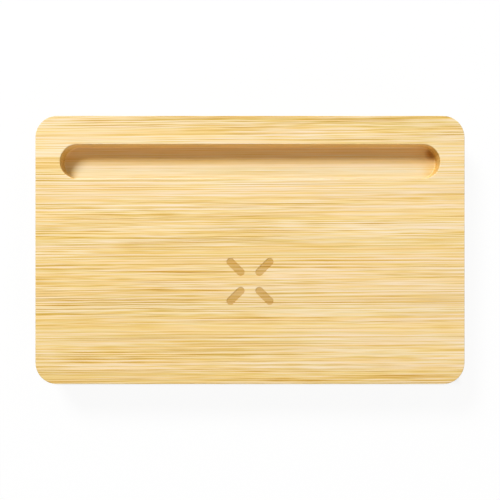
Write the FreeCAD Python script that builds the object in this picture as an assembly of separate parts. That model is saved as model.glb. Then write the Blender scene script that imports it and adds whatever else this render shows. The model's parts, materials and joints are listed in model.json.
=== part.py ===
import FreeCAD
import Part
import math
import os

# Charging organizer of bamboo: a slab with a stand slot along its rear edge, a mark of four
# dashes over the charging spot, and a wireless charger fitted into its underside.
# Millimetres. X runs left to right, Y front to rear, Z up. The origin is the middle of the
# footprint, on the surface that the feet stand on.

Vector = FreeCAD.Vector
UP = Vector(0, 0, 1)
REARWARD = Vector(0, 1, 0)
ORIGIN = Vector(0, 0, 0)
SIDES = (-1, 1)

# Driving dimensions of the slab
body_length = 200.0
charge_zone_depth = 95.75
body_corner_radius = 10.0
body_edge_round = 0.3

# Driving dimensions of the stand slot
slot_rear_margin = 13.25
slot_end_margin = 11.45
slot_width = 16.0
slot_depth = 8.0
slot_rim_round = 0.4
slot_floor_round = 0.8
slot_floor_wall = 2.0
slot_front_wall = 3.0

# Driving dimensions of the charging mark
mark_dash_count = 4
mark_inner_radius = 6.15
mark_outer_radius = 12.9
mark_dash_width = 3.6
mark_depth = 0.2
charge_wall = 2.2

# Driving dimensions of the feet
foot_diameter = 12.0
foot_standoff = 1.5
foot_recess_depth = 0.8
foot_inset = 14.0
foot_edge_round = 0.6
foot_side_gap = 0.2
foot_adhesive_thickness = 0.2

# Driving dimensions of the bottom cover and its screws
cover_thickness = 2.0
cover_recess = 0.2
cover_side_gap = 0.25
cover_corner_radius = 6.0
cover_edge_round = 0.4
cover_side_ledge = 11.0
cover_front_ledge = 9.0
cover_rear_ledge = 1.0
cover_screw_diameter = 2.9
cover_screw_head_diameter = 5.6
cover_screw_length = 7.0
cover_screw_inset = 6.5
cover_screw_rows = 3
screw_drive_width = 0.7
screw_drive_span_share = 0.56
screw_drive_depth = 0.6
screw_point_share = 1.2
thread_gap = 0.05
bore_spare = 0.5

# Driving dimensions of the pedestal that holds the coil up
pedestal_diameter = 34.0
pedestal_wall = 2.0
pedestal_rib = 1.6

# Driving dimensions of the port
inlet_width = 8.94
inlet_height = 3.2
inlet_length = 7.35
inlet_wall = 0.3
inlet_leg_width = 1.1
inlet_leg_reach = 0.4
inlet_leg_gap = 0.1
inlet_leg_place_shares = (0.14, 0.5)
inlet_base_length = 2.4
inlet_tongue_width = 6.7
inlet_tongue_thickness = 0.7
inlet_tongue_setback = 0.55
inlet_insert_gap = 0.03
inlet_contact_count = 12
inlet_contact_pitch = 0.5
inlet_contact_width = 0.26
inlet_contact_thickness = 0.06
inlet_contact_setback = 0.5
plug_recess_width = 13.0
plug_recess_height = 7.0
plug_recess_depth = 4.5
plug_recess_round = 0.5
port_web = 1.5
port_gap = 0.25

# Driving dimensions of the status light
light_pipe_diameter = 2.0
light_pipe_wall = 1.6
light_pipe_flange_diameter = 3.0
light_pipe_flange_thickness = 0.5
light_pipe_gap = 0.05
light_pipe_round = 0.3
led_length = 3.0
led_width = 1.2
led_height = 1.4
led_lens_share = 0.5

# Driving dimensions of the circuit board and its screws
board_length = 46.0
board_front_reach = 5.0
board_thickness = 1.0
board_corner_radius = 1.0
board_side_gap = 1.0
board_rear_gap = 1.0
board_bay_radius = 3.0
part_headroom = 0.3
boss_diameter = 6.0
boss_inset = 3.4
boss_bay_gap = 0.4
board_screw_diameter = 2.0
board_screw_head_diameter = 3.8
board_screw_head_height = 1.0
board_screw_head_round = 0.5
board_screw_bite = 2.4
board_screw_clearance = 0.3
board_hole_gap = 0.1

# Driving dimensions of the coil and what carries it
coil_inner_radius = 10.6
coil_half_turns = 19
coil_pitch = 1.2
coil_wire = 0.75
coil_tape_thickness = 0.2
coil_tape_margin = 1.5
ferrite_size = 50.0
ferrite_thickness = 1.8
ferrite_corner_radius = 3.0
ferrite_bay_gap = 2.0
coil_bay_radius = 4.0
lead_cross_gap = 0.5
lead_slot_gap = 0.4
lead_rise_start = 0.6
lead_rise_run = 2.0
lead_rise_radius = 1.6
lead_overhang = 2.5
lead_stub = 3.0
lead_bend_radius = 2.5
lead_pad_inset = 2.5
solder_base_radius = 1.5
solder_top_radius = 0.7
solder_height = 1.0
pad_diameter = 38.0
pad_thickness = 2.0

# Driving dimensions of the parts on the board
part_edge_round = 0.15
controller_size = 5.0
controller_height = 0.9
controller_dot_radius = 0.35
controller_dot_depth = 0.08
controller_dot_share = 0.33
transistor_size = 3.3
transistor_height = 1.0
resonant_capacitor_count = 4
resonant_capacitor_row_share = -0.4
resonant_capacitor_length = 3.2
resonant_capacitor_width = 2.5
resonant_capacitor_height = 2.0
inductor_size = 6.0
inductor_height = 2.8
inductor_corner = 0.9
bulk_capacitor_length = 3.2
bulk_capacitor_width = 1.6
bulk_capacitor_height = 1.6
regulator_length = 4.5
regulator_width = 2.5
regulator_height = 1.5
sense_resistor_length = 6.4
sense_resistor_width = 3.2
sense_resistor_height = 0.6
chip_length = 1.6
chip_width = 0.8
chip_resistor_height = 0.45
chip_capacitor_height = 0.8

# Places on the board, as shares of its length and width from its middle
controller_place_shares = ((0.0, 0.04),)
transistor_place_shares = ((-0.22, -0.2), (-0.08, -0.2), (0.08, -0.2), (0.22, -0.2))
inductor_place_shares = ((0.3, 0.13),)
bulk_capacitor_place_shares = ((-0.36, 0.04), (-0.36, 0.13), (-0.36, 0.22))
regulator_place_shares = ((-0.22, 0.13),)
sense_resistor_place_shares = ((0.32, -0.06),)
chip_resistor_place_shares = tuple((share, 0.18) for share in (-0.1, -0.05, 0.0, 0.05, 0.1))
chip_capacitor_place_shares = tuple(
    (side * 0.12, share) for side in SIDES for share in (-0.04, 0.02, 0.08)
)

# One overrun serves every cut that runs out through a face, and one tolerance every comparison
cut_overrun = 1.0
same_place = 1e-6

# Heights of the stack, from the standing surface up
tallest_part = max(inlet_height, inductor_height, resonant_capacitor_height, bulk_capacitor_height)
z_base = foot_standoff
z_cover = z_base + cover_recess
z_cover_inside = z_cover + cover_thickness
z_board = z_cover_inside + board_screw_head_height + board_screw_clearance
z_board_top = z_board + board_thickness
z_board_bay = z_board_top + tallest_part + part_headroom
z_slot_floor = z_board_bay + slot_floor_wall
z_top = z_slot_floor + slot_depth
z_port = z_board_top + inlet_height / 2
z_coil_bay = z_top - charge_wall
z_tape = z_coil_bay - coil_tape_thickness
z_coil = z_tape - coil_wire / 2
z_ferrite_top = z_tape - coil_wire
z_ferrite = z_ferrite_top - ferrite_thickness
z_pad = z_ferrite - pad_thickness
z_lead = z_coil - coil_wire - lead_cross_gap

# Places from front to rear and from left to right
body_width = charge_zone_depth + slot_width + slot_rear_margin
y_rear = body_width / 2
y_front = -body_width / 2
slot_length = body_length - 2 * slot_end_margin
slot_rear = y_rear - slot_rear_margin
slot_front = slot_rear - slot_width
slot_y = (slot_front + slot_rear) / 2
mark_y = (slot_front + y_front) / 2
bay_rear = y_rear - plug_recess_depth - port_web
coil_bay_rear = slot_front - slot_front_wall
coil_bay_half = ferrite_size / 2 + ferrite_bay_gap
coil_bay_front = mark_y - coil_bay_half
board_rear = bay_rear - board_rear_gap
board_front = coil_bay_rear - board_front_reach
board_width = board_rear - board_front
board_y = (board_front + board_rear) / 2
board_bay_half = board_length / 2 + board_side_gap
cover_half_length = max(coil_bay_half, board_bay_half) + cover_side_ledge
cover_front = coil_bay_front - cover_front_ledge
cover_rear = bay_rear + cover_rear_ledge
inlet_mouth = bay_rear + port_web
inlet_back = inlet_mouth - inlet_length
light_pipe_x = plug_recess_width / 2 + light_pipe_wall + light_pipe_diameter / 2
z_light_pipe = z_board_top + led_height * led_lens_share


# Basic shapes

def rounded_prism(x_low, x_high, y_low, y_high, z_low, z_high, radius):
    """Upright prism on a rectangle with round corners."""
    corners = (
        (x_high - radius, y_low + radius, 270),
        (x_high - radius, y_high - radius, 0),
        (x_low + radius, y_high - radius, 90),
        (x_low + radius, y_low + radius, 180),
    )
    arcs = [Part.makeCircle(radius, Vector(x, y, z_low), UP, a, a + 90) for x, y, a in corners]
    return joined_prism(arcs, UP * (z_high - z_low))


def stadium_prism(centre, length, width, height):
    """Upright prism with half-round ends, its length along X."""
    radius = width / 2
    reach = length / 2 - radius
    arcs = [
        Part.makeCircle(radius, centre + Vector(reach, 0, 0), UP, 270, 450),
        Part.makeCircle(radius, centre - Vector(reach, 0, 0), UP, 90, 270),
    ]
    return joined_prism(arcs, UP * height)


def joined_prism(arcs, sweep):
    """Prism on the closed outline that straight lines complete between these arcs."""
    edges = []
    for arc, following in zip(arcs, arcs[1:] + arcs[:1]):
        edges.append(arc)
        edges.append(Part.makeLine(arc.Vertexes[-1].Point, following.Vertexes[0].Point))
    return Part.Face(Part.Wire(edges)).extrude(sweep)


def rearward_stadium(x, y_low, z, length, height, depth):
    """Stadium prism that lies along Y, its length along X, its middle at x and z."""
    prism = stadium_prism(ORIGIN, length, height, depth)
    prism.rotate(ORIGIN, Vector(1, 0, 0), -90)
    prism.translate(Vector(x, y_low, z))
    return prism


def box(centre_x, centre_y, z_low, length, width, height):
    """Upright block on its centre."""
    corner = Vector(centre_x - length / 2, centre_y - width / 2, z_low)
    return Part.makeBox(length, width, height, corner)


def cylinder(x, y, z_low, radius, height):
    """Upright cylinder."""
    return Part.makeCylinder(radius, height, Vector(x, y, z_low), UP)


def edges_at_height(shape, z):
    """Edges that lie flat at this height."""
    return [e for e in shape.Edges if all(math.isclose(v.Z, z, abs_tol=same_place) for v in e.Vertexes)]


def edges_at_depth(shape, y):
    """Edges that lie in the upright plane at this distance to the rear."""
    return [e for e in shape.Edges if all(math.isclose(v.Y, y, abs_tol=same_place) for v in e.Vertexes)]


def edges_within(edges, x_reach, y_low, y_high):
    """Those of the edges that end within this reach of the middle and between these distances."""
    kept = []
    for edge in edges:
        sideways = max(abs(v.X) for v in edge.Vertexes)
        lowest = min(v.Y for v in edge.Vertexes)
        highest = max(v.Y for v in edge.Vertexes)
        beside = sideways <= x_reach + same_place
        if beside and lowest >= y_low - same_place and highest <= y_high + same_place:
            kept.append(edge)
    return kept


def fused(shapes):
    """One solid from shapes that meet."""
    return shapes[0].multiFuse(shapes[1:]).removeSplitter()


def mirrored_places(x, ys):
    """Places left and right of the middle at each of these distances."""
    return [(side * x, y) for side in SIDES for y in ys]


# Slab

def foot_places():
    """Name and place of each foot."""
    x = body_length / 2 - foot_inset
    y = body_width / 2 - foot_inset
    ends = (("front", -y), ("rear", y))
    flanks = (("left", -x), ("right", x))
    return {f"foot_{end}_{flank}": (fx, fy) for end, fy in ends for flank, fx in flanks}


def cover_screw_places():
    """Centres of the cover's screws, in rows from front to rear."""
    x = cover_half_length - cover_screw_inset
    first = cover_front + cover_screw_inset
    step = (cover_rear - cover_screw_inset - first) / (cover_screw_rows - 1)
    return mirrored_places(x, [first + step * row for row in range(cover_screw_rows)])


def boss_places():
    """Centres of the bosses that the board is screwed to."""
    x = board_length / 2 - boss_inset
    front = coil_bay_rear + boss_bay_gap + boss_diameter / 2
    return mirrored_places(x, (front, board_rear - boss_inset))


def slab():
    """Slab with rounded corners and edges, before anything is cut into it."""
    half = body_length / 2
    block = rounded_prism(-half, half, y_front, y_rear, z_base, z_top, body_corner_radius)
    rims = edges_at_height(block, z_base) + edges_at_height(block, z_top)
    return block.makeFillet(body_edge_round, rims)


def stand_slot():
    """Space of the slot, round along the foot of its walls."""
    centre = Vector(0, slot_y, z_slot_floor)
    space = stadium_prism(centre, slot_length, slot_width, slot_depth)
    return space.makeFillet(slot_floor_round, edges_at_height(space, z_slot_floor))


def mark_dashes():
    """Engraved dashes, on the diagonals through the charging spot."""
    middle = (mark_inner_radius + mark_outer_radius) / 2
    length = mark_outer_radius - mark_inner_radius + mark_dash_width
    dashes = []
    for dash in range(mark_dash_count):
        centre = Vector(middle, 0, z_top - mark_depth)
        space = stadium_prism(centre, length, mark_dash_width, mark_depth + cut_overrun)
        space.rotate(ORIGIN, UP, 360 / mark_dash_count * (dash + 0.5))
        space.translate(Vector(0, mark_y, 0))
        dashes.append(space)
    return dashes


def cover_rebate():
    """Space that the cover sinks into."""
    half = cover_half_length + cover_side_gap
    low = cover_front - cover_side_gap
    high = cover_rear + cover_side_gap
    radius = cover_corner_radius + cover_side_gap
    return rounded_prism(-half, half, low, high, z_base - cut_overrun, z_cover_inside, radius)


def coil_bay():
    """Deep pocket for the coil, its carrier and its leads."""
    half = coil_bay_half
    z_low = z_base - cut_overrun
    return rounded_prism(-half, half, coil_bay_front, coil_bay_rear, z_low, z_coil_bay, coil_bay_radius)


def board_bay():
    """Shallow pocket for the circuit board, under the slot, less the bosses left standing in it."""
    half = board_bay_half
    front = board_front - board_side_gap
    z_low = z_base - cut_overrun
    pocket = rounded_prism(-half, half, front, bay_rear, z_low, z_board_bay, board_bay_radius)
    height = z_board_bay - z_board_top
    bosses = [cylinder(x, y, z_board_top, boss_diameter / 2, height) for x, y in boss_places()]
    return pocket.cut(bosses)


def port_openings():
    """Recess for a plug's grip, the hole for the socket behind it, and the light pipe's hole."""
    depth = plug_recess_depth + cut_overrun
    recess = rearward_stadium(0, inlet_mouth, z_port, plug_recess_width, plug_recess_height, depth)
    web = port_web + cut_overrun
    hole_width = inlet_width + 2 * port_gap
    hole_height = inlet_height + 2 * port_gap
    hole = rearward_stadium(0, bay_rear - cut_overrun, z_port, hole_width, hole_height, web + cut_overrun)
    radius = light_pipe_diameter / 2 + light_pipe_gap
    start = Vector(light_pipe_x, bay_rear - cut_overrun, z_light_pipe)
    length = y_rear - bay_rear + 2 * cut_overrun
    return [recess, hole, Part.makeCylinder(radius, length, start, REARWARD)]


def screw_bores():
    """Holes that the screws cut their threads in."""
    cover_radius = cover_screw_diameter / 2 + thread_gap
    cover_depth = cover_screw_length + bore_spare
    board_radius = board_screw_diameter / 2 + thread_gap
    board_depth = board_screw_bite + bore_spare
    bores = [cylinder(x, y, z_cover, cover_radius, cover_depth) for x, y in cover_screw_places()]
    bores += [cylinder(x, y, z_board_top, board_radius, board_depth) for x, y in boss_places()]
    return bores


def foot_recesses():
    """Spaces in the underside that the feet are stuck into."""
    radius = foot_diameter / 2 + foot_side_gap
    height = foot_recess_depth + cut_overrun
    places = foot_places().values()
    return [cylinder(x, y, z_base - cut_overrun, radius, height) for x, y in places]


def slotted_slab():
    """Slab with its slot, whose rim is rounded."""
    block = slab().cut([stand_slot()])
    rim = edges_within(edges_at_height(block, z_top), slot_length / 2, slot_front, slot_rear)
    return block.makeFillet(slot_rim_round, rim)


def bamboo_body():
    """Slab with its slot, mark, pockets, port, bores and foot recesses."""
    pockets = [cover_rebate(), coil_bay(), board_bay()]
    block = slotted_slab().cut(pockets + mark_dashes() + port_openings() + foot_recesses())
    block = block.cut(screw_bores()).removeSplitter()
    rim = edges_within(edges_at_depth(block, y_rear), plug_recess_width / 2, y_front, y_rear)
    return block.makeFillet(plug_recess_round, rim)


# Feet

def foot(x, y):
    """Rubber foot with a round lower edge, seated in its recess."""
    height = foot_standoff + foot_recess_depth - foot_adhesive_thickness
    disc = cylinder(x, y, 0, foot_diameter / 2, height)
    return disc.makeFillet(foot_edge_round, edges_at_height(disc, 0))


def foot_adhesive(x, y):
    """Disc of tape between a foot and the roof of its recess."""
    z_low = z_base + foot_recess_depth - foot_adhesive_thickness
    return cylinder(x, y, z_low, foot_diameter / 2, foot_adhesive_thickness)


# Cover and screws

def cross_drive(x, y, z_low, head_diameter, height):
    """Space of a cross-shaped driver recess."""
    span = head_diameter * screw_drive_span_share
    across = box(x, y, z_low, span, screw_drive_width, height)
    along = box(x, y, z_low, screw_drive_width, span, height)
    return across.fuse(along)


def cover_screw(x, y):
    """Countersunk screw, its head flush with the cover and its point up."""
    shank = cover_screw_diameter / 2
    head = cover_screw_head_diameter / 2
    sink = head - shank
    point = cover_screw_diameter * screw_point_share
    z_point = z_cover + cover_screw_length - point
    solid = fused([
        Part.makeCone(head, shank, sink, Vector(x, y, z_cover), UP),
        cylinder(x, y, z_cover + sink, shank, z_point - z_cover - sink),
        Part.makeCone(shank, 0, point, Vector(x, y, z_point), UP),
    ])
    return solid.cut(cross_drive(x, y, z_cover, cover_screw_head_diameter, screw_drive_depth))


def countersink(x, y):
    """Space of a countersunk screw in the cover."""
    shank = cover_screw_diameter / 2 + thread_gap
    head = cover_screw_head_diameter / 2 + thread_gap
    cone = Part.makeCone(head, shank, head - shank, Vector(x, y, z_cover), UP)
    return cone.fuse(cylinder(x, y, z_cover, shank, cover_thickness + cut_overrun))


def pedestal():
    """Ring with crossed ribs that stands on the cover and carries the coil's pad."""
    outer = pedestal_diameter / 2
    height = z_pad - z_cover_inside
    ring = cylinder(0, mark_y, z_cover_inside, outer, height)
    ring = ring.cut(cylinder(0, mark_y, z_cover_inside, outer - pedestal_wall, height))
    span = pedestal_diameter - pedestal_wall
    ribs = [
        box(0, mark_y, z_cover_inside, span, pedestal_rib, height),
        box(0, mark_y, z_cover_inside, pedestal_rib, span, height),
    ]
    return [ring] + ribs


def bottom_cover():
    """Plate that closes the pockets, with the pedestal on its inside."""
    half = cover_half_length
    plate = rounded_prism(-half, half, cover_front, cover_rear, z_cover, z_cover_inside, cover_corner_radius)
    plate = plate.makeFillet(cover_edge_round, edges_at_height(plate, z_cover))
    plate = fused([plate] + pedestal())
    return plate.cut([countersink(x, y) for x, y in cover_screw_places()])


def board_screw(x, y):
    """Pan-head screw from below, through the board into its boss."""
    head_radius = board_screw_head_diameter / 2
    z_head = z_board - board_screw_head_height
    head = cylinder(x, y, z_head, head_radius, board_screw_head_height)
    head = head.makeFillet(board_screw_head_round, edges_at_height(head, z_head))
    shank = cylinder(x, y, z_board, board_screw_diameter / 2, board_thickness + board_screw_bite)
    drive = cross_drive(x, y, z_head, board_screw_head_diameter, screw_drive_depth)
    return fused([head, shank]).cut(drive)


# Socket

def inlet_leg_places():
    """Centres of the shell's legs, left and right, along the socket."""
    ys = [inlet_back + inlet_length * share + inlet_leg_width / 2 for share in inlet_leg_place_shares]
    return mirrored_places(inlet_width / 2 - inlet_wall / 2, ys)


def inlet_shell():
    """Drawn metal shell of the socket, with legs through the board."""
    inner_width = inlet_width - 2 * inlet_wall
    inner_height = inlet_height - 2 * inlet_wall
    outside = rearward_stadium(0, inlet_back, z_port, inlet_width, inlet_height, inlet_length)
    inside = rearward_stadium(0, inlet_back, z_port, inner_width, inner_height, inlet_length)
    z_low = z_board - inlet_leg_reach
    height = z_port - z_low
    legs = [box(x, y, z_low, inlet_wall, inlet_leg_width, height) for x, y in inlet_leg_places()]
    return fused([outside] + legs).cut(inside)


def inlet_leg_holes():
    """Slots in the board for the shell's legs."""
    length = inlet_wall + 2 * inlet_leg_gap
    width = inlet_leg_width + 2 * inlet_leg_gap
    return [box(x, y, z_board, length, width, board_thickness) for x, y in inlet_leg_places()]


def inlet_tongue():
    """Plastic insert: a base that fills the back of the shell, and the tongue in front of it."""
    inset = inlet_wall + inlet_insert_gap
    width = inlet_width - 2 * inset
    height = inlet_height - 2 * inset
    base = rearward_stadium(0, inlet_back, z_port, width, height, inlet_base_length)
    length = inlet_length - inlet_tongue_setback
    z_low = z_port - inlet_tongue_thickness / 2
    tongue = box(0, inlet_back + length / 2, z_low, inlet_tongue_width, length, inlet_tongue_thickness)
    return fused([base, tongue])


def inlet_contacts():
    """Rows of contact strips on both faces of the tongue."""
    y_low = inlet_back + inlet_base_length
    y_high = inlet_mouth - inlet_tongue_setback - inlet_contact_setback
    first = -inlet_contact_pitch * (inlet_contact_count - 1) / 2
    upper = z_port + inlet_tongue_thickness / 2
    lower = z_port - inlet_tongue_thickness / 2 - inlet_contact_thickness
    strips = []
    for contact in range(inlet_contact_count):
        x = first + inlet_contact_pitch * contact
        for z_low in (lower, upper):
            middle = (y_low + y_high) / 2
            strips.append(box(x, middle, z_low, inlet_contact_width, y_high - y_low, inlet_contact_thickness))
    return strips


# Status light

def light_pipe():
    """Clear rod in the rear wall, flanged inside and slightly domed outside."""
    radius = light_pipe_diameter / 2
    start = Vector(light_pipe_x, bay_rear, z_light_pipe)
    rod = Part.makeCylinder(radius, y_rear - bay_rear, start, REARWARD)
    rod = rod.makeFillet(light_pipe_round, edges_at_depth(rod, y_rear))
    seat = start - REARWARD * light_pipe_flange_thickness
    flange = Part.makeCylinder(light_pipe_flange_diameter / 2, light_pipe_flange_thickness, seat, REARWARD)
    return fused([rod, flange])


def status_led():
    """Side-facing light at the rear edge of the board, its lens towards the pipe."""
    depth = led_width * led_lens_share
    y = board_rear - led_width / 2
    block = box(light_pipe_x, y - depth / 2, z_board_top, led_length, led_width - depth, led_height)
    start = Vector(light_pipe_x, board_rear - depth, z_light_pipe)
    lens = Part.makeCone(led_height / 2, led_height * led_lens_share / 2, depth, start, REARWARD)
    return fused([block, lens])


# Board and what stands on it

def circuit_board():
    """Board with holes for its screws and for the socket's legs."""
    half = board_length / 2
    plate = rounded_prism(-half, half, board_front, board_rear, z_board, z_board_top, board_corner_radius)
    radius = board_screw_diameter / 2 + board_hole_gap
    holes = [cylinder(x, y, z_board, radius, board_thickness) for x, y in boss_places()]
    return plate.cut(holes + inlet_leg_holes())


def board_places(place_shares):
    """Places on the board that these shares of its length and width give."""
    return [(x_share * board_length, board_y + y_share * board_width) for x_share, y_share in place_shares]


def resonant_capacitor_places():
    """Places in a row on the board, spread evenly between the leads of the coil."""
    step = 2 * coil_inner_radius / (resonant_capacitor_count + 1)
    y = board_y + resonant_capacitor_row_share * board_width
    return [(step * (place + 1) - coil_inner_radius, y) for place in range(resonant_capacitor_count)]


def board_blocks(places, length, width, height):
    """Blocks with softened top edges, one at each of these places on the board."""
    blocks = []
    for x, y in places:
        block = box(x, y, z_board_top, length, width, height)
        rim = edges_at_height(block, z_board_top + height)
        blocks.append(block.makeFillet(part_edge_round, rim))
    return blocks


def controller_chip():
    """Charger's controller, with a dot at its first corner."""
    places = board_places(controller_place_shares)
    chip = board_blocks(places, controller_size, controller_size, controller_height)[0]
    x, y = places[0]
    offset = controller_size * controller_dot_share
    z_low = z_board_top + controller_height - controller_dot_depth
    return chip.cut(cylinder(x - offset, y + offset, z_low, controller_dot_radius, controller_dot_depth))


def input_inductor():
    """Moulded choke with cut corners."""
    x, y = board_places(inductor_place_shares)[0]
    block = box(x, y, z_board_top, inductor_size, inductor_size, inductor_height)
    uprights = [e for e in block.Edges if not math.isclose(e.Vertexes[0].Z, e.Vertexes[1].Z)]
    block = block.makeChamfer(inductor_corner, uprights)
    return block.makeFillet(part_edge_round, edges_at_height(block, z_board_top + inductor_height))


# Coil and what carries it

def bent_run(points, radii):
    """Straight runs through these points, with an arc of its own radius at each inner point."""
    edges = []
    start = points[0]
    for before, corner, after, radius in zip(points, points[1:], points[2:], radii):
        arriving = (corner - before).normalize()
        leaving = (after - corner).normalize()
        half_turn = arriving.getAngle(leaving) / 2
        setback = radius * math.tan(half_turn)
        bend_start = corner - arriving * setback
        bend_end = corner + leaving * setback
        inward = (leaving - arriving).normalize()
        bend_middle = corner + inward * (radius / math.cos(half_turn) - radius)
        edges.append(Part.LineSegment(start, bend_start).toShape())
        edges.append(Part.Arc(bend_start, bend_middle, bend_end).toShape())
        start = bend_end
    edges.append(Part.LineSegment(start, points[-1]).toShape())
    return edges


def lead_pads():
    """Where the leads of the coil meet the board: inner lead, then outer lead."""
    y = board_front + lead_pad_inset
    return [Vector(side * coil_inner_radius, y, z_board_top) for side in (1, -1)]


def coil_spiral():
    """Half-turn arcs from the inner end of the winding to its outer end, seen from above clockwise."""
    edges = []
    x = coil_inner_radius
    side = 1
    for half_turn in range(coil_half_turns):
        radius = coil_inner_radius + coil_pitch * (0.5 + half_turn) / 2
        centre = Vector(x - side * radius, mark_y, z_coil)
        end = Vector(x - 2 * side * radius, mark_y, z_coil)
        start = Vector(x, mark_y, z_coil)
        edges.append(Part.Arc(start, centre - Vector(0, side * radius, 0), end).toShape())
        x = end.x
        side = -side
    return edges, Vector(x, mark_y, z_coil)


def coil_route():
    """Line of the wire from the inner lead's pad, through the winding, to the outer lead's pad."""
    inner_pad, outer_pad = lead_pads()
    y_edge = mark_y + ferrite_size / 2 + lead_overhang
    stub = UP * lead_stub
    x = coil_inner_radius
    y_high = mark_y + lead_rise_start
    inner = [
        inner_pad,
        inner_pad + stub,
        Vector(x, y_edge, z_lead),
        Vector(x, y_high + lead_rise_run, z_lead),
        Vector(x, y_high, z_coil),
        Vector(x, mark_y, z_coil),
    ]
    spiral, end = coil_spiral()
    outer = [end, Vector(end.x, y_edge, z_coil), outer_pad + stub, outer_pad]
    inner_radii = (lead_bend_radius, lead_bend_radius, lead_rise_radius, lead_rise_radius)
    outer_radii = (lead_bend_radius, lead_bend_radius)
    return Part.Wire(bent_run(inner, inner_radii) + spiral + bent_run(outer, outer_radii))


def transmit_coil():
    """Flat winding of bundled wire with both leads, one unbroken tube."""
    route = coil_route()
    start, _ = lead_pads()
    section = Part.Wire(Part.makeCircle(coil_wire / 2, start, UP))
    tube = route.makePipeShell([section], True, False)
    report_coil(route, tube)
    return tube


def report_coil(route, tube):
    """Prints the wire's length, the tube's volume against its section, and its least gap to itself."""
    step = coil_wire / 2
    points = route.discretize(Distance=step)
    apart = math.ceil(math.pi * coil_inner_radius / step)
    least = min(
        (first - second).Length
        for place, first in enumerate(points)
        for second in points[place + apart:]
    )
    expected = math.pi * (coil_wire / 2) ** 2 * route.Length
    print(f"coil wire {route.Length:.1f} mm long")
    print(f"coil volume {tube.Volume:.2f}, its section by its length {expected:.2f}")
    print(f"coil least gap to itself {least - coil_wire:.3f} mm")


def lead_solder(coil):
    """Cone of solder round each end of the wire."""
    cones = [
        Part.makeCone(solder_base_radius, solder_top_radius, solder_height, pad, UP)
        for pad in lead_pads()
    ]
    return [cone.cut(coil) for cone in cones]


def ferrite_shield():
    """Plate under the coil, slotted from its middle to its rear edge for the inner lead."""
    half = ferrite_size / 2
    plate = rounded_prism(
        -half, half, mark_y - half, mark_y + half, z_ferrite, z_ferrite_top, ferrite_corner_radius
    )
    width = coil_wire + 2 * lead_slot_gap
    length = half + cut_overrun
    slot = box(coil_inner_radius, mark_y + length / 2, z_ferrite, width, length, ferrite_thickness)
    return plate.cut(slot)


def coil_outer_radius():
    """Distance from the middle of the winding to the outside of its last turn."""
    return coil_inner_radius + coil_pitch * coil_half_turns / 2 + coil_wire / 2


def coil_tape():
    """Ring of tape between the coil and the roof of its bay."""
    outer = coil_outer_radius() + coil_tape_margin
    inner = coil_inner_radius - coil_wire / 2 - coil_tape_margin
    ring = cylinder(0, mark_y, z_tape, outer, coil_tape_thickness)
    return ring.cut(cylinder(0, mark_y, z_tape, inner, coil_tape_thickness))


def silicone_pad():
    """Pad between the pedestal and the ferrite plate."""
    return cylinder(0, mark_y, z_pad, pad_diameter / 2, pad_thickness)


# Assembly

def assembly():
    """Every node's name with its solids."""
    coil = transmit_coil()
    nodes = {
        "bamboo_body": [bamboo_body()],
        "bottom_cover": [bottom_cover()],
        "cover_screws": [cover_screw(x, y) for x, y in cover_screw_places()],
        "foot_adhesives": [foot_adhesive(x, y) for x, y in foot_places().values()],
        "circuit_board": [circuit_board()],
        "board_screws": [board_screw(x, y) for x, y in boss_places()],
        "inlet_shell": [inlet_shell()],
        "inlet_tongue": [inlet_tongue()],
        "inlet_contacts": inlet_contacts(),
        "light_pipe": [light_pipe()],
        "status_led": [status_led()],
        "transmit_coil": [coil],
        "lead_solder": lead_solder(coil),
        "ferrite_shield": [ferrite_shield()],
        "coil_tape": [coil_tape()],
        "silicone_pad": [silicone_pad()],
        "controller_chip": [controller_chip()],
        "input_inductor": [input_inductor()],
        "bridge_transistors": board_blocks(
            board_places(transistor_place_shares), transistor_size, transistor_size, transistor_height
        ),
        "resonant_capacitors": board_blocks(
            resonant_capacitor_places(),
            resonant_capacitor_width, resonant_capacitor_length, resonant_capacitor_height,
        ),
        "bulk_capacitors": board_blocks(
            board_places(bulk_capacitor_place_shares),
            bulk_capacitor_length, bulk_capacitor_width, bulk_capacitor_height,
        ),
        "regulator_chip": board_blocks(
            board_places(regulator_place_shares), regulator_width, regulator_length, regulator_height
        ),
        "sense_resistor": board_blocks(
            board_places(sense_resistor_place_shares),
            sense_resistor_length, sense_resistor_width, sense_resistor_height,
        ),
        "chip_resistors": board_blocks(
            board_places(chip_resistor_place_shares), chip_width, chip_length, chip_resistor_height
        ),
        "chip_capacitors": board_blocks(
            board_places(chip_capacitor_place_shares), chip_length, chip_width, chip_capacitor_height
        ),
    }
    for name, (x, y) in foot_places().items():
        nodes[name] = [foot(x, y)]
    return nodes


def main():
    """Writes one file for each node and prints the places that other things fit to."""
    os.makedirs("parts", exist_ok=True)
    for name, solids in assembly().items():
        shape = solids[0] if len(solids) == 1 else Part.makeCompound(solids)
        if not shape.isValid():
            print(f"{name} is not valid")
        shape.exportStep(f"parts/{name}.step")
    print(f"slab {body_length:.2f} x {body_width:.2f} x {z_top - z_base:.2f}, top at {z_top:.2f}")
    print(f"slot {slot_length:.2f} x {slot_width:.2f}, middle at {slot_y:.2f}, floor at {z_slot_floor:.2f}")
    print(f"mark and coil middle at {mark_y:.2f}")
    print(f"plug recess floor at {inlet_mouth:.2f}, port at height {z_port:.2f}")
    print(f"light pipe at {light_pipe_x:.2f}, height {z_light_pipe:.2f}")
    print(f"feet at {foot_places()}")


main()
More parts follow.
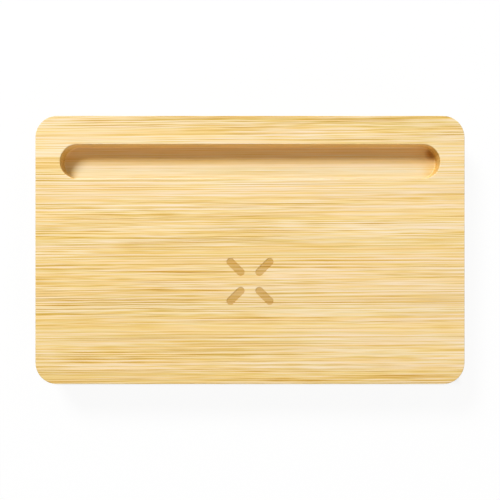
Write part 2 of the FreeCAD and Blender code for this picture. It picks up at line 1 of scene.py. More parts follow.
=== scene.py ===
import bpy
import json
from math import pi
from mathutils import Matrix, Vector

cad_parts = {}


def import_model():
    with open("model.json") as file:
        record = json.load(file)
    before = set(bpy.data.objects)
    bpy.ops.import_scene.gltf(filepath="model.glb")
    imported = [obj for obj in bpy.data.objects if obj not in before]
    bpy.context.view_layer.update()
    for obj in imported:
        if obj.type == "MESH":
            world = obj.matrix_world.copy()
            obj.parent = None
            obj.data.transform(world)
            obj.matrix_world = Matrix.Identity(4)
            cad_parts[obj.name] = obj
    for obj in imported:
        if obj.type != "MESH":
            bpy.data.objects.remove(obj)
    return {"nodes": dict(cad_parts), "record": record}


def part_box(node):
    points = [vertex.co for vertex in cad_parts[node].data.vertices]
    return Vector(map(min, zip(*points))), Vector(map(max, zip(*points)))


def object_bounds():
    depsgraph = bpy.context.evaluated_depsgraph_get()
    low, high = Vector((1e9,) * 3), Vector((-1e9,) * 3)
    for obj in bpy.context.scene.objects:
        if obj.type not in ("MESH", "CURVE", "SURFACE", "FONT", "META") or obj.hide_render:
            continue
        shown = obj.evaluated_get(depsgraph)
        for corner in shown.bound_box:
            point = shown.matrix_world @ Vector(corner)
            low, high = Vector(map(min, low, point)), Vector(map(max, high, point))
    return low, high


# Looks of the bamboo charging organizer: finishes, a pale floor, studio light and a camera straight above
# Lengths are metres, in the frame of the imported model

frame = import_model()
cad_low, cad_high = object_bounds()

MM = 0.001
WHITE = (1.0, 1.0, 1.0)

# A noise lies about this middle, most of it within the first span and nearly all of it within the other
MIDDLE = 0.5
NOISE_SPAN = (0.3, 0.7)
WIDE_NOISE_SPAN = (0.2, 0.8)

# How many finer layers a noise has, and how much each counts against the one before
SMOOTH = 0.0
SOFT = 1.0
PLAIN = 2.0
GRAINED = 3.0
LAYER_SHARE = 0.5

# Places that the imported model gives
body_low, body_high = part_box("bamboo_body")
led_low, led_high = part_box("status_led")
led_middle = (led_low + led_high) / 2
mounts = {mount["name"]: Vector(mount["pos_m"]) for mount in frame["record"]["mounts"]}
mark_middle = mounts["charging_surface"]
slot_middle = mounts["stand_slot"]
slot_depth = slot_middle.z - mounts["slot_floor"].z


# Short ways to build node trees

class Tree:
    """Node tree of a material or of the world."""

    def __init__(self, owner):
        owner.use_nodes = True
        self.owner = owner
        self.nodes = owner.node_tree.nodes
        self.links = owner.node_tree.links

    def feed(self, target, value):
        """Gives an input a value, or joins an output to it."""
        if isinstance(value, bpy.types.NodeSocket):
            self.links.new(value, target)
        else:
            target.default_value = value

    def add(self, kind, values, **settings):
        """New node with these settings, its first inputs fed with these values."""
        node = self.nodes.new(kind)
        for name, setting in settings.items():
            setattr(node, name, setting)
        for target, value in zip(node.inputs, values):
            self.feed(target, value)
        return node

    def place(self, scale=(1, 1, 1)):
        """Position on the piece times a scale along each axis."""
        position = self.nodes.new("ShaderNodeTexCoord").outputs["Object"]
        return self.vector("MULTIPLY", position, scale)

    def from_point(self, point):
        """Position on the piece, measured from a point, in three parts."""
        return self.split(self.vector("SUBTRACT", self.place(), tuple(point)))

    def vector(self, operation, *values):
        """Vector sum, product or the like."""
        return self.add("ShaderNodeVectorMath", values, operation=operation).outputs[0]

    def join(self, *values):
        """Vector from three numbers."""
        return self.add("ShaderNodeCombineXYZ", values).outputs[0]

    def split(self, vector):
        """The three parts of a vector."""
        return tuple(self.add("ShaderNodeSeparateXYZ", [vector]).outputs)

    def math(self, operation, *values):
        """One number from up to three."""
        return self.add("ShaderNodeMath", values, operation=operation).outputs[0]

    def product(self, first, *factors):
        """Product of several numbers."""
        for factor in factors:
            first = self.math("MULTIPLY", first, factor)
        return first

    def sway(self, base, layer, weight):
        """Base number plus a weighted layer that counts from its middle."""
        return self.math("MULTIPLY_ADD", self.math("SUBTRACT", layer, MIDDLE), weight, base)

    def length(self, first, second):
        """Length of a flat vector with these two parts."""
        return self.math("SQRT", self.math("MULTIPLY_ADD", first, first, self.product(second, second)))

    def from_whole(self, value):
        """Distance to the nearest whole number."""
        return self.math("PINGPONG", value, 0.5)

    def ease(self, value, span, at_low=0.0, at_high=1.0):
        """Number that eases from one value to another over a span."""
        values = (value, *span, at_low, at_high)
        return self.add("ShaderNodeMapRange", values, interpolation_type="SMOOTHSTEP").outputs[0]

    def fade(self, value, span):
        """Number that eases from 1 to 0 over a span."""
        return self.ease(value, span, 1.0, 0.0)

    def between(self, factor, first, second):
        """Number that goes from the first to the second as the factor goes from 0 to 1."""
        return self.add("ShaderNodeMapRange", (factor, 0.0, 1.0, first, second)).outputs[0]

    def noise(self, vector, scale=1.0, detail=PLAIN, layer_share=LAYER_SHARE, flat=False):
        """Fractal noise, about 0 to 1, over the first two axes alone if flat."""
        node = self.add("ShaderNodeTexNoise", [vector], noise_dimensions="2D" if flat else "3D")
        node.inputs["Scale"].default_value = scale
        node.inputs["Detail"].default_value = detail
        node.inputs["Roughness"].default_value = layer_share
        return node.outputs[0]

    def cloud(self, size):
        """Soft noise with patches of this size along each axis."""
        return self.noise(self.place([1 / length for length in size]), detail=SOFT)

    def cells(self, vector):
        """Distance to the nearest scattered point over the first two axes, and a random number for it."""
        node = self.add("ShaderNodeTexVoronoi", [vector], voronoi_dimensions="2D")
        node.inputs["Scale"].default_value = 1.0
        number, _, _ = self.split(node.outputs["Color"])
        return node.outputs["Distance"], number

    def random(self, vector):
        """Random number and colour for each place."""
        node = self.add("ShaderNodeTexWhiteNoise", [vector])
        return node.outputs["Value"], node.outputs["Color"]

    def ramp(self, value, stops):
        """Colour along a row of stops, each a place and a colour."""
        node = self.add("ShaderNodeValToRGB", [value])
        elements = node.color_ramp.elements
        while len(elements) < len(stops):
            elements.new(1.0)
        for element, (place, colour) in zip(elements, stops):
            element.position = place
            element.color = (*colour, 1.0)
        return node.outputs[0]

    def mix(self, factor, first, second, blend="MIX"):
        """Two colours mixed."""
        node = self.nodes.new("ShaderNodeMix")
        node.data_type = "RGBA"
        node.blend_type = blend
        self.feed(node.inputs["Factor"], factor)
        colours = [socket for socket in node.inputs if socket.type == "RGBA"]
        for socket, value in zip(colours, (first, second)):
            self.feed(socket, (*value, 1.0) if isinstance(value, tuple) else value)
        return next(socket for socket in node.outputs if socket.type == "RGBA")


class Finish(Tree):
    """Node tree of a new material."""

    def __init__(self, name):
        super().__init__(bpy.data.materials.new(name))
        self.shader = self.nodes["Principled BSDF"]

    def set(self, **inputs):
        """Sets the shader's inputs, named with underscores for spaces."""
        for name, value in inputs.items():
            self.feed(self.shader.inputs[name.replace("_", " ")], value)

    def bump(self, height, distance, strength):
        """Surface relief from a height."""
        node = self.nodes.new("ShaderNodeBump")
        node.inputs["Strength"].default_value = strength
        node.inputs["Distance"].default_value = distance
        self.feed(node.inputs["Height"], height)
        self.set(Normal=node.outputs[0])


# Bamboo: strips glued side by side in plies, with the fibres along X

PLY_COUNT = 3
PLY_SKIN = 0.05 * MM
PLY_THICKNESS = (body_high.z - body_low.z + 2 * PLY_SKIN) / PLY_COUNT
STRIP_WIDTH = 24.7 * MM
STRIP_START = -6.5 * MM
STRIP_SHIFT = 9.1 * MM
SEAM_WIDTH = 0.22 * MM

# In plies from the middle of the slab: past this, a ply's face is the slab's own and has no seam
OUTER_FACE_SPAN = (PLY_COUNT / 2 - 0.5, PLY_COUNT / 2 - 0.3)

# How far apart the fibres of different strips start, and how they sway and slant
START_REACH = (900 * MM, 100 * MM, 100 * MM)
SWAY_SIZE = (120 * MM, 22 * MM, 22 * MM)
SWAY_REACH = 1.2 * MM
FIBRE_SLANT = 0.006

# Streaks: length along the fibres, width across them and, where several are summed, a weight
DASH_STREAKS = (
    (14 * MM, 0.38 * MM, 0.62),
    (58 * MM, 0.40 * MM, 0.98),
)
THREAD_STREAKS = (
    (22 * MM, 0.39 * MM, 0.52),
    (320 * MM, 0.43 * MM, 1.00),
)
ZONE_STREAK = (280 * MM, 19.0 * MM)
BAND_STREAKS = (
    (700 * MM, 7.0 * MM, 1.20),
    (500 * MM, 3.1 * MM, 0.22),
)
CREAM_STREAKS = (
    (16 * MM, 0.50 * MM, 0.60),
    (80 * MM, 0.54 * MM, 0.80),
    (55 * MM, 1.6 * MM, 0.52),
    (450 * MM, 5.2 * MM, 0.75),
)
ROSY_STREAKS = (
    (15 * MM, 0.58 * MM, 0.60),
    (75 * MM, 0.63 * MM, 0.70),
    (60 * MM, 2.0 * MM, 0.70),
    (480 * MM, 6.1 * MM, 0.60),
)
LINE_STREAK = (190 * MM, 0.50 * MM)
LINE_SPAN = (0.02, 0.34)
LINE_LEAST = 0.35
RIDGE_DRIFT = (500 * MM, 3.0 * MM)
RIDGE_STRENGTH = (180 * MM, 3.0 * MM)
RIDGE_SPACING = 1.3 * MM
RIDGE_SWING = 11.0
CLOUD_SIZE = (220 * MM, 30 * MM, 30 * MM)

# How much each layer sways the tone, about its middle
MIDDLE_TONE = 0.70
FINE_WEIGHT = 1.06
RIDGE_WEIGHT = 0.52
BAND_WEIGHT = 0.30
CLOUD_WEIGHT = 0.8
STRIP_WEIGHT = 0.15
LINE_WEIGHT = -0.74
SEAM_WEIGHT = -0.25

# Cut ends of the fibre bundles, which are darkest near the top of each ply
DOT_SPACING = 0.95 * MM
DOT_SPAN = (0.10, 0.42)
DOT_LEAST = 0.35
DOT_WEIGHT = -0.7
END_TONE = 0.58
END_STRIP_WEIGHT = 0.22
END_FACE_SPAN = (0.3, 0.95)
TOP_FACE_SPAN = (0.3, 0.8)

# Colours, from the darkest tone to the palest, and what changes them
FIBRE_STOPS = (
    (0.0, (0.59, 0.32, 0.053)),
    (0.18, (0.71, 0.436, 0.088)),
    (0.40, (0.826, 0.572, 0.184)),
    (0.60, (0.90, 0.655, 0.296)),
    (0.80, (0.95, 0.72, 0.378)),
    (1.0, (0.99, 0.775, 0.476)),
)
GREEN_SHIFT = (0.955, 1.045)
BLUE_SHIFT = (0.785, 1.215)
ROSY_SHIFT = (1.02, 0.98)
MARK_TINT = (0.75, 0.63, 0.42)
# Painted shade: the side tint makes every face that isn't turned up darker and warmer
SIDE_SHADE_TINT = (0.97, 0.89, 0.76)
END_TINT = (0.91, 0.91, 0.91)
# Painted shade: the slot's wall tint darkens and warms its walls
SLOT_WALL_SHADE_TINT = (0.97, 0.965, 0.89)
# Painted shade: the rear tint gives the rear of the slot's floor, in the rear wall's shadow, the warm
# colour of shade
SLOT_REAR_SHADE_TINT = (1.08, 1.03, 1.0)
# Painted light: the front tint makes the lit front of the slot's floor paler
SLOT_FRONT_LIT_TINT = (0.84, 0.985, 1.31)
# Painted shade in a band along the edge of the rear wall's shadow on the slot's floor
SLOT_SHADE_TINT = (0.95, 0.92, 0.78)
# Painted shade at both ends of the front of the slot's floor
SLOT_END_SHADE_TINT = (0.80, 0.84, 0.80)
# Painted shade: a dark spot in the rear corner of the slot's right end
CORNER_SHADE_TINT = (0.60, 0.45, 0.27)

# Sheen and relief
PORE_ROUGHNESS = 0.62
FIBRE_ROUGHNESS = 0.5
WOOD_SPECULAR = 0.12
GRAIN_RELIEF = 0.05 * MM
GRAIN_RELIEF_STRENGTH = 0.35

# Zones of the slot and the mark, around their middles and down from the top
SLOT_REACH = 80.55 * MM
SLOT_RADIUS = 8.0 * MM
SLOT_RIM_SPAN = (SLOT_RADIUS + 0.1 * MM, SLOT_RADIUS + 0.3 * MM)
SLOT_TOP_SPAN = (-0.5 * MM, 0.0)
SLOT_FLOOR_SPAN = (-slot_depth - 0.8 * MM, -slot_depth - 0.3 * MM)
SLOT_WALL_SPAN = (-slot_depth + 0.1 * MM, -slot_depth + 0.6 * MM)
# Across the slot's floor, the painted shade of the rear turns into the painted light of the front over
# this span
SLOT_MIDDLE_SPAN = (-0.5 * SLOT_RADIUS, 0.3 * SLOT_RADIUS)
SLOT_END_SPAN = (0.0, 0.8 * SLOT_RADIUS)
# Edge of the rear wall's shadow on the slot's floor, measured from the middle, and the band of painted
# shade about it
SLOT_SHADE_EDGE = 0.17 * SLOT_RADIUS
SLOT_SHADE_SPAN = (0.05 * SLOT_RADIUS, 0.36 * SLOT_RADIUS)
SLOT_CALM = 0.55
# Middle and reach of the painted shade in the rear corner of the slot's right end
CORNER_SHADE_PLACE = (SLOT_REACH + 0.78 * SLOT_RADIUS, 0.58 * SLOT_RADIUS)
CORNER_SHADE_SPAN = (0.12 * SLOT_RADIUS, 0.56 * SLOT_RADIUS)
MARK_SPAN = (14 * MM, 16 * MM)
MARK_TOP_SPAN = (-0.15 * MM, -0.02 * MM)
MARK_FLOOR_SPAN = (-1.0 * MM, -0.6 * MM)


def strips(tree):
    """The strip at a place: its random number and colour, the depth in its ply and how near a seam is."""
    _, y, z = tree.split(tree.place())
    level = tree.math("DIVIDE", tree.math("SUBTRACT", body_high.z + PLY_SKIN, z), PLY_THICKNESS)
    ply = tree.math("FLOOR", level)
    shifted = tree.math("MULTIPLY_ADD", ply, STRIP_SHIFT, y)
    across = tree.math("DIVIDE", tree.math("SUBTRACT", shifted, STRIP_START), STRIP_WIDTH)
    value, colour = tree.random(tree.join(ply, tree.math("FLOOR", across), 0.0))
    beside = tree.math("MULTIPLY", tree.from_whole(across), STRIP_WIDTH)
    below = tree.math("MULTIPLY", tree.from_whole(level), PLY_THICKNESS)
    from_middle = tree.math("ABSOLUTE", tree.math("SUBTRACT", level, PLY_COUNT / 2))
    outer = tree.ease(from_middle, OUTER_FACE_SPAN)
    nearest = tree.math("MINIMUM", beside, tree.math("ADD", below, outer))
    return value, colour, tree.math("FRACT", level), tree.fade(nearest, (0.0, SEAM_WIDTH))


def fibre_space(tree, strip_colour):
    """Place along the fibres and across them, starting elsewhere in each strip and swaying a little."""
    x, y, z = tree.split(tree.vector("MULTIPLY_ADD", strip_colour, START_REACH, tree.place()))
    across = tree.math("MULTIPLY_ADD", x, -FIBRE_SLANT, tree.math("ADD", y, z))
    return tree.join(x, tree.sway(across, tree.cloud(SWAY_SIZE), SWAY_REACH), 0.0)


def drawn(tree, space, size):
    """Fibre space in units of one streak's length and width."""
    length, width = size
    return tree.vector("MULTIPLY", space, (1 / length, 1 / width, 1))


def streaks(tree, space, size):
    """Noise drawn out along the fibres."""
    return tree.noise(drawn(tree, space, size), detail=SMOOTH, flat=True)


def summed(tree, space, layers):
    """Streaks of several lengths and widths, summed about the middle of a noise."""
    total = MIDDLE
    for length, width, weight in layers:
        total = tree.sway(total, streaks(tree, space, (length, width)), weight)
    return total


def ridges(tree, space):
    """Evenly spaced fibre bundles, whose spacing and strength wander, from 0 to 1."""
    _, across, _ = tree.split(space)
    drift = tree.math("MULTIPLY", streaks(tree, space, RIDGE_DRIFT), RIDGE_SWING)
    wave = tree.math("SINE", tree.math("MULTIPLY_ADD", across, 2 * pi / RIDGE_SPACING, drift))
    strength = tree.ease(streaks(tree, space, RIDGE_STRENGTH), NOISE_SPAN)
    return tree.math("MULTIPLY_ADD", tree.product(wave, strength), MIDDLE, MIDDLE)


def dark_lines(tree, space):
    """Dark lines of single fibre bundles with tapered ends, each with a strength of its own."""
    distance, number = tree.cells(drawn(tree, space, LINE_STREAK))
    return tree.product(tree.fade(distance, LINE_SPAN), tree.between(number, LINE_LEAST, 1.0))


def end_dots(tree, depth):
    """Dots of the fibre bundles on a face that cuts them, of different strengths."""
    _, y, z = tree.split(tree.place((1, 1 / DOT_SPACING, 1 / DOT_SPACING)))
    distance, strength = tree.cells(tree.join(y, z, 0.0))
    dot = tree.fade(distance, DOT_SPAN)
    return tree.product(dot, strength, tree.ease(depth, (0.0, 1.0), 1.0, DOT_LEAST))


def fibre_hue(tree, space):
    """Shift of colour from fibre to fibre, between golden and cream, and a little towards pink."""
    cream = summed(tree, space, CREAM_STREAKS)
    rosy = tree.ease(summed(tree, space, ROSY_STREAKS), WIDE_NOISE_SPAN, *ROSY_SHIFT)
    green = tree.product(tree.ease(cream, WIDE_NOISE_SPAN, *GREEN_SHIFT), rosy)
    return tree.join(1.0, green, tree.ease(cream, WIDE_NOISE_SPAN, *BLUE_SHIFT))


def mark_zone(tree):
    """How far a place is in the floor of the engraved mark."""
    x, y, z = tree.from_point(mark_middle)
    reach = tree.math("MAXIMUM", tree.math("ABSOLUTE", x), tree.math("ABSOLUTE", y))
    inside = tree.fade(reach, MARK_SPAN)
    return tree.product(inside, tree.fade(z, MARK_TOP_SPAN), tree.ease(z, MARK_FLOOR_SPAN))


def slot_zones(tree):
    """How far a place is in the slot, and the tints that paint shade and light on its walls and on the
    zones of its floor.
    """
    x, y, z = tree.from_point(slot_middle)
    beyond = tree.math("MAXIMUM", tree.math("SUBTRACT", tree.math("ABSOLUTE", x), SLOT_REACH), 0.0)
    inside = tree.fade(tree.length(beyond, y), SLOT_RIM_SPAN)
    slot = tree.product(inside, tree.fade(z, SLOT_TOP_SPAN), tree.ease(z, SLOT_FLOOR_SPAN))
    wall = tree.product(slot, tree.ease(z, SLOT_WALL_SPAN))
    bottom = tree.math("SUBTRACT", slot, wall)
    # Painted shade on the rear of the floor, in the rear wall's shadow, and painted light on its lit front
    rear = tree.product(bottom, tree.ease(y, SLOT_MIDDLE_SPAN))
    front = tree.math("SUBTRACT", bottom, rear)
    ends = tree.product(front, tree.ease(beyond, SLOT_END_SPAN))
    from_shade = tree.math("ABSOLUTE", tree.math("SUBTRACT", y, SLOT_SHADE_EDGE))
    shade_corner_x, shade_corner_y = CORNER_SHADE_PLACE
    from_shade_corner = tree.length(tree.math("SUBTRACT", x, shade_corner_x), tree.math("SUBTRACT", y, shade_corner_y))
    tints = (
        (wall, SLOT_WALL_SHADE_TINT),
        (rear, SLOT_REAR_SHADE_TINT),
        (tree.math("SUBTRACT", front, ends), SLOT_FRONT_LIT_TINT),
        (ends, SLOT_END_SHADE_TINT),
        (tree.product(bottom, tree.fade(from_shade, SLOT_SHADE_SPAN)), SLOT_SHADE_TINT),
        (tree.product(bottom, tree.fade(from_shade_corner, CORNER_SHADE_SPAN)), CORNER_SHADE_TINT),
    )
    return slot, tints


def face_kinds(tree):
    """How far a face cuts the fibres across, and how far it isn't turned up."""
    normal = tree.nodes.new("ShaderNodeNewGeometry").outputs["Normal"]
    normal_x, _, normal_z = tree.split(normal)
    end = tree.ease(tree.math("ABSOLUTE", normal_x), END_FACE_SPAN)
    return end, tree.fade(normal_z, TOP_FACE_SPAN)


def fibre_tone(tree, space, strip, fine, line):
    """Tone of a face along the fibres."""
    layers = (
        (fine, FINE_WEIGHT),
        (ridges(tree, space), RIDGE_WEIGHT),
        (summed(tree, space, BAND_STREAKS), BAND_WEIGHT),
        (tree.cloud(CLOUD_SIZE), CLOUD_WEIGHT),
        (strip, STRIP_WEIGHT),
    )
    tone = MIDDLE_TONE
    for layer, weight in layers:
        tone = tree.sway(tone, layer, weight)
    return tree.math("MULTIPLY_ADD", line, LINE_WEIGHT, tone)


def end_tone(tree, strip, depth):
    """Tone of a face that cuts the fibres across."""
    tone = tree.sway(END_TONE, strip, END_STRIP_WEIGHT)
    return tree.math("MULTIPLY_ADD", end_dots(tree, depth), DOT_WEIGHT, tone)


def bamboo():
    """Pressed bamboo: streaks along the fibres, and dots where they are cut across."""
    tree = Finish("bamboo")
    strip, strip_colour, depth, seam = strips(tree)
    space = fibre_space(tree, strip_colour)
    end, side = face_kinds(tree)
    slot, slot_tints = slot_zones(tree)
    calm = tree.math("MULTIPLY", slot, SLOT_CALM)
    zone = tree.ease(streaks(tree, space, ZONE_STREAK), NOISE_SPAN)
    fine = tree.between(zone, summed(tree, space, DASH_STREAKS), summed(tree, space, THREAD_STREAKS))
    line = dark_lines(tree, space)

    tone = tree.between(calm, fibre_tone(tree, space, strip, fine, line), MIDDLE_TONE)
    tone = tree.between(end, tone, end_tone(tree, strip, depth))
    tone = tree.math("MULTIPLY_ADD", seam, SEAM_WEIGHT, tone)
    hue = tree.mix(calm, fibre_hue(tree, space), WHITE)
    colour = tree.vector("MULTIPLY", tree.ramp(tone, FIBRE_STOPS), hue)
    # The engraved mark's own colour, painted shade on the sides, the darker cut ends, and the slot's
    # painted shade and light
    tints = (
        (mark_zone(tree), MARK_TINT),
        (side, SIDE_SHADE_TINT),
        (end, END_TINT),
        *slot_tints,
    )
    for factor, tint in tints:
        colour = tree.mix(factor, colour, tint, "MULTIPLY")
    tree.set(
        Base_Color=colour,
        Roughness=tree.ease(fine, NOISE_SPAN, PORE_ROUGHNESS, FIBRE_ROUGHNESS),
        Specular_IOR_Level=WOOD_SPECULAR,
    )
    tree.bump(tree.math("SUBTRACT", fine, line), GRAIN_RELIEF, GRAIN_RELIEF_STRENGTH)
    return tree.owner


# Moulded, pressed and cast pieces

# Dark and light colour, size of the grain, smoothest and roughest finish, and depth of the relief
GRAINY_FINISHES = {
    "cover_plastic": ((0.022, 0.022, 0.023), (0.05, 0.05, 0.052), 0.35 * MM, (0.48, 0.6), 0.04 * MM),
    "foot_rubber": ((0.018, 0.018, 0.019), (0.042, 0.042, 0.044), 0.25 * MM, (0.7, 0.85), 0.03 * MM),
    "foot_tape": ((0.46, 0.44, 0.41), (0.62, 0.6, 0.57), 0.3 * MM, (0.8, 0.9), 0.05 * MM),
    "inlet_plastic": ((0.016, 0.016, 0.016), (0.04, 0.04, 0.04), 0.12 * MM, (0.4, 0.55), 0.01 * MM),
    "ferrite": ((0.04, 0.04, 0.044), (0.085, 0.085, 0.09), 0.18 * MM, (0.55, 0.75), 0.02 * MM),
    "coil_tape": ((0.68, 0.66, 0.56), (0.84, 0.82, 0.75), 0.7 * MM, (0.35, 0.5), 0.03 * MM),
    "silicone": ((0.42, 0.44, 0.46), (0.56, 0.58, 0.6), 0.5 * MM, (0.55, 0.7), 0.04 * MM),
    "chip_resin": ((0.014, 0.014, 0.015), (0.036, 0.036, 0.038), 0.1 * MM, (0.5, 0.66), 0.012 * MM),
    "choke_powder": ((0.11, 0.11, 0.115), (0.22, 0.22, 0.225), 0.22 * MM, (0.55, 0.75), 0.03 * MM),
    "capacitor_ceramic": ((0.36, 0.24, 0.15), (0.55, 0.39, 0.26), 0.16 * MM, (0.35, 0.5), 0.01 * MM),
    "resistor_film": ((0.02, 0.02, 0.024), (0.052, 0.052, 0.058), 0.14 * MM, (0.2, 0.34), 0.008 * MM),
}
GRAINY_METALS = {
    "screw_steel": ((0.34, 0.34, 0.36), (0.56, 0.55, 0.54), 0.2 * MM, (0.24, 0.38), 0.01 * MM),
    "solder": ((0.58, 0.58, 0.6), (0.8, 0.8, 0.81), 0.5 * MM, (0.16, 0.3), 0.03 * MM),
}
GRAINS_PER_CLOUD = 18
GRAIN_CLOUD_SHARE = 0.5
GRAIN_LAYER_SHARE = 0.6
GRAIN_STOPS = (0.25, 0.75)
GRAIN_STRENGTH = 0.6


def grainy(name, dark, light, grain, roughness, relief, metallic=0.0):
    """Fine-grained finish: two close colours, with matching roughness and relief."""
    tree = Finish(name)
    spots = tree.noise(tree.place(), scale=1 / grain, detail=GRAINED, layer_share=GRAIN_LAYER_SHARE)
    cloud = tree.noise(tree.place(), scale=1 / (grain * GRAINS_PER_CLOUD))
    value = tree.between(GRAIN_CLOUD_SHARE, spots, cloud)
    tree.set(
        Base_Color=tree.ramp(value, tuple(zip(GRAIN_STOPS, (dark, light)))),
        Roughness=tree.ease(value, NOISE_SPAN, *roughness),
        Metallic=metallic,
    )
    tree.bump(spots, relief, GRAIN_STRENGTH)
    return tree.owner


# Drawn and plated metal

# Dark and light colour, length and width of the lines along Y, and smoothest and roughest finish
DRAWN_METALS = {
    "inlet_steel": ((0.50, 0.50, 0.51), (0.74, 0.74, 0.73), (2.5 * MM, 0.06 * MM), (0.2, 0.34)),
    "contact_gold": ((0.72, 0.50, 0.17), (0.92, 0.73, 0.34), (1.5 * MM, 0.04 * MM), (0.16, 0.28)),
}
DRAWN_CLOUD_SHARE = 0.4
DRAWN_STRENGTH = 0.1


def drawn_metal(name, dark, light, line, roughness):
    """Metal with fine lines from drawing and plating."""
    tree = Finish(name)
    length, width = line
    lines = tree.noise(tree.place((1 / width, 1 / length, 1 / width)))
    cloud = tree.noise(tree.place(), scale=1 / length, detail=SOFT)
    value = tree.between(DRAWN_CLOUD_SHARE, lines, cloud)
    tree.set(
        Base_Color=tree.ramp(value, tuple(zip(NOISE_SPAN, (dark, light)))),
        Roughness=tree.ease(value, NOISE_SPAN, *roughness),
        Metallic=1.0,
    )
    tree.bump(lines, width, DRAWN_STRENGTH)
    return tree.owner


# Circuit board

WEAVE_PITCH = 0.5 * MM
WEAVE_SHARE = 0.1
TRACK_SPACING = 2.2 * MM
TRACK_LENGTH = 8.8 * MM
TRACK_EDGE_SPAN = (0.14, 0.18)
TRACK_LEFT_OUT_SPAN = (0.35, 0.4)
MASK_GREEN = (0.010, 0.075, 0.035)
TRACK_GREEN = (0.030, 0.165, 0.085)
MOTTLE_SPAN = (0.3, 0.9)
MOTTLE_SHARE = 0.35
MASK_ROUGHNESS = (0.28, 0.4)
TRACK_RELIEF = 0.03 * MM
TRACK_RELIEF_STRENGTH = 0.5


def laminate():
    """Satin solder mask over a glass weave, with copper tracks showing paler through it."""
    tree = Finish("board_laminate")
    x, y, _ = tree.split(tree.place((2 * pi / WEAVE_PITCH, 2 * pi / WEAVE_PITCH, 1)))
    weave = tree.product(tree.math("SINE", x), tree.math("SINE", y))
    distance, kind = tree.cells(tree.place((1 / TRACK_SPACING, 1 / TRACK_LENGTH, 1)))
    track = tree.product(tree.fade(distance, TRACK_EDGE_SPAN), tree.ease(kind, TRACK_LEFT_OUT_SPAN))
    mottle = tree.noise(tree.place(), scale=1 / TRACK_SPACING, detail=GRAINED)
    green = tree.mix(track, MASK_GREEN, TRACK_GREEN)
    tree.set(
        Base_Color=tree.mix(tree.ease(mottle, MOTTLE_SPAN, 0.0, MOTTLE_SHARE), green, TRACK_GREEN),
        Roughness=tree.ease(mottle, NOISE_SPAN, *MASK_ROUGHNESS),
    )
    tree.bump(tree.math("MULTIPLY_ADD", weave, WEAVE_SHARE, track), TRACK_RELIEF, TRACK_RELIEF_STRENGTH)
    return tree.owner


# Coil

STRAND_PITCH = 0.9 * MM
STRAND_SLANT = 1.6
STRAND_CONTRAST = 0.22
STRAND_PATCH = 3.6 * MM
STRAND_STOPS = ((0.2, (0.42, 0.17, 0.07)), (0.75, (0.80, 0.43, 0.22)))
STRAND_ROUGHNESS = (0.24, 0.38)
STRAND_RELIEF = 0.04 * MM
STRAND_RELIEF_STRENGTH = 0.7
ENAMEL_METALLIC = 0.9
ENAMEL_COAT = 0.4


def bundled_wire():
    """Enamelled copper strands, twisted together around the wire that spirals about the mark."""
    tree = Finish("coil_copper")
    x, y, z = tree.from_point(mark_middle)
    radius = tree.length(x, y)
    turned = tree.product(tree.math("ARCTAN2", y, x), radius)
    slanted = tree.math("MULTIPLY_ADD", tree.math("ADD", radius, z), STRAND_SLANT, turned)
    wave = tree.math("SINE", tree.math("MULTIPLY", slanted, 2 * pi / STRAND_PITCH))
    patch = tree.noise(tree.place(), scale=1 / STRAND_PATCH)
    tree.set(
        Base_Color=tree.ramp(tree.math("MULTIPLY_ADD", wave, STRAND_CONTRAST, patch), STRAND_STOPS),
        Roughness=tree.ease(patch, NOISE_SPAN, *STRAND_ROUGHNESS),
        Metallic=ENAMEL_METALLIC,
        Coat_Weight=ENAMEL_COAT,
    )
    tree.bump(wave, STRAND_RELIEF, STRAND_RELIEF_STRENGTH)
    return tree.owner


# Status light

LED_BODY = (0.86, 0.86, 0.82)
LED_SHADE = (0.7, 0.7, 0.66)
LED_SHADE_SHARE = 0.12
LED_WINDOW = (0.86, 0.72, 0.22)
LED_WINDOW_SPAN = (0.38 * MM, 0.45 * MM)
LED_GRAIN = 0.2 * MM
LED_ROUGHNESS = (0.3, 0.42)
PIPE_STOPS = ((0.3, (0.84, 0.87, 0.89)), (0.7, (0.93, 0.95, 0.96)))
PIPE_HAZE = 0.6 * MM
PIPE_ROUGHNESS = (0.25, 0.4)
PIPE_CLEARNESS = 0.35
PIPE_IOR = 1.58
LIGHT_RELIEF = 0.01 * MM
LIGHT_RELIEF_STRENGTH = 0.5


def lit_chip():
    """White moulded chip with a yellow window in the face that meets the light pipe."""
    tree = Finish("led_white")
    x, _, z = tree.from_point(led_middle)
    grain = tree.noise(tree.place(), scale=1 / LED_GRAIN, detail=GRAINED)
    window = tree.fade(tree.length(x, z), LED_WINDOW_SPAN)
    body = tree.mix(tree.ease(grain, NOISE_SPAN, 0.0, LED_SHADE_SHARE), LED_BODY, LED_SHADE)
    tree.set(
        Base_Color=tree.mix(window, body, LED_WINDOW),
        Roughness=tree.ease(grain, NOISE_SPAN, *LED_ROUGHNESS),
    )
    tree.bump(grain, LIGHT_RELIEF, LIGHT_RELIEF_STRENGTH)
    return tree.owner


def milky_pipe():
    """Milky moulded plastic that lets light through."""
    tree = Finish("light_pipe_clear")
    haze = tree.noise(tree.place(), scale=1 / PIPE_HAZE)
    tree.set(
        Base_Color=tree.ramp(haze, PIPE_STOPS),
        Roughness=tree.ease(haze, NOISE_SPAN, *PIPE_ROUGHNESS),
        Transmission_Weight=PIPE_CLEARNESS,
        IOR=PIPE_IOR,
    )
    tree.bump(haze, LIGHT_RELIEF, LIGHT_RELIEF_STRENGTH)
    return tree.owner


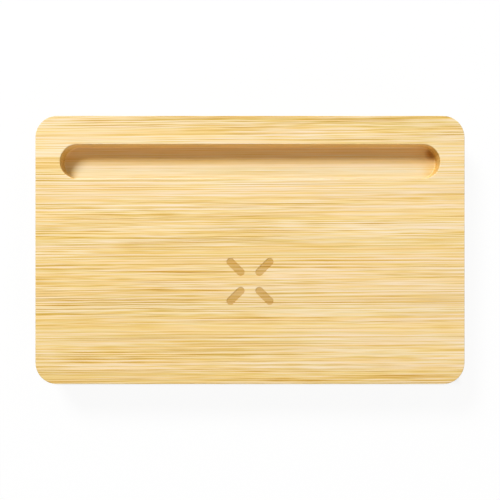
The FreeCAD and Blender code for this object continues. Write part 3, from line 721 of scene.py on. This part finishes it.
def dress():
    """Gives every piece the finish that its material slot in the record names."""
    finishes = {
        "bamboo": bamboo(),
        "board_laminate": laminate(),
        "coil_copper": bundled_wire(),
        "led_white": lit_chip(),
        "light_pipe_clear": milky_pipe(),
    }
    for slot, values in GRAINY_FINISHES.items():
        finishes[slot] = grainy(slot, *values)
    for slot, values in GRAINY_METALS.items():
        finishes[slot] = grainy(slot, *values, metallic=1.0)
    for slot, values in DRAWN_METALS.items():
        finishes[slot] = drawn_metal(slot, *values)
    for subpart in frame["record"]["subparts"]:
        for place in frame["nodes"][subpart["node"]].material_slots:
            place.material = finishes[subpart["material_slot"]]


# Stage

FLOOR_SIZE = 6.0
FLOOR_GLOW = 0.93
FLOOR_BOUNCE = (0.4, 0.4, 0.4)
FLOOR_ROUGHNESS = 0.9
CONTACT_GLOW = 0.5
CONTACT_SPAN = (-5 * MM, 5 * MM)
HORIZON_SPAN = (0.3, 1.2)
CAMERA_HEIGHT = 0.35
CAMERA_SENSOR_MM = 36.0
CAMERA_NEAREST = 0.01
VIEW_WIDTH = 0.2329
FILL_STRENGTH = 0.16
LAMP_DISTANCE = 2.0

# Direction from the middle of the top, width across and power in watts
LAMPS = {
    "key": ((-0.405, 0.636, 0.656), 0.66, 40.5),
    "side": ((0.50, 0.61, 0.63), 0.66, 4.8),
    "front": ((0.45, -0.75, 0.48), 1.4, 10.0),
}


def background_rays(tree):
    """1 for rays that show the background: straight, mirrored or through something clear."""
    path = tree.nodes.new("ShaderNodeLightPath")
    seen = path.outputs["Is Camera Ray"]
    for name in ("Is Glossy Ray", "Is Transmission Ray"):
        seen = tree.math("MAXIMUM", seen, path.outputs[name])
    return seen


def floor_glow(tree):
    """How far the floor is white by itself: least under the slab, wholly where it meets the background."""
    x, y, _ = tree.split(tree.place())
    beside = tree.math("SUBTRACT", tree.math("ABSOLUTE", x), body_high.x)
    before = tree.math("SUBTRACT", tree.math("ABSOLUTE", y), body_high.y)
    near = tree.ease(tree.math("MAXIMUM", beside, before), CONTACT_SPAN, CONTACT_GLOW, FLOOR_GLOW)
    return tree.ease(tree.length(x, y), HORIZON_SPAN, near, 1.0)


def floor_finish():
    """Pale floor that keeps a soft shadow."""
    tree = Finish("floor")
    seen = background_rays(tree)
    tree.set(
        Base_Color=tree.mix(seen, FLOOR_BOUNCE, WHITE),
        Roughness=FLOOR_ROUGHNESS,
        Specular_IOR_Level=0.0,
    )
    share = tree.math("MULTIPLY", seen, floor_glow(tree))
    glow = tree.nodes.new("ShaderNodeEmission")
    blend = tree.add("ShaderNodeMixShader", (share, tree.shader.outputs[0], glow.outputs[0]))
    tree.feed(tree.nodes["Material Output"].inputs["Surface"], blend.outputs[0])
    return tree.owner


def put(name, data):
    """New object in the scene."""
    thing = bpy.data.objects.new(name, data)
    bpy.context.scene.collection.objects.link(thing)
    return thing


def floor():
    """Square floor that the feet stand on."""
    half = FLOOR_SIZE / 2
    corners = [(x * half, y * half, cad_low.z) for x, y in ((-1, -1), (1, -1), (1, 1), (-1, 1))]
    mesh = bpy.data.meshes.new("floor")
    mesh.from_pydata(corners, [], [range(len(corners))])
    mesh.materials.append(floor_finish())
    put("floor", mesh)


def world():
    """Even fill light, white where it is seen."""
    tree = Tree(bpy.data.worlds.new("studio"))
    background = tree.nodes["Background"]
    background.inputs["Color"].default_value = (*WHITE, 1.0)
    tree.feed(background.inputs["Strength"], tree.between(background_rays(tree), FILL_STRENGTH, 1.0))
    bpy.context.scene.world = tree.owner


def lamp(name, direction, width, power):
    """Soft round lamp that shines at the middle of the top from this direction."""
    light = bpy.data.lights.new(name, "AREA")
    light.shape = "DISK"
    light.size = width
    light.energy = power
    towards = Vector(direction).normalized()
    holder = put(name, light)
    holder.location = Vector((0, 0, body_high.z)) + towards * LAMP_DISTANCE
    holder.rotation_euler = towards.to_track_quat("Z", "Y").to_euler()


def camera():
    """Camera straight above the middle, its picture's top towards the rear."""
    lens = bpy.data.cameras.new("camera")
    lens.sensor_width = CAMERA_SENSOR_MM
    lens.lens = CAMERA_SENSOR_MM * CAMERA_HEIGHT / VIEW_WIDTH
    lens.clip_start = CAMERA_NEAREST
    holder = put("camera", lens)
    holder.location = (0, 0, body_high.z + CAMERA_HEIGHT)
    bpy.context.scene.camera = holder


def main():
    """Dresses the pieces and sets the stage."""
    dress()
    floor()
    world()
    for name, values in LAMPS.items():
        lamp(name, *values)
    camera()
    bpy.context.scene.view_settings.view_transform = "Standard"


main()
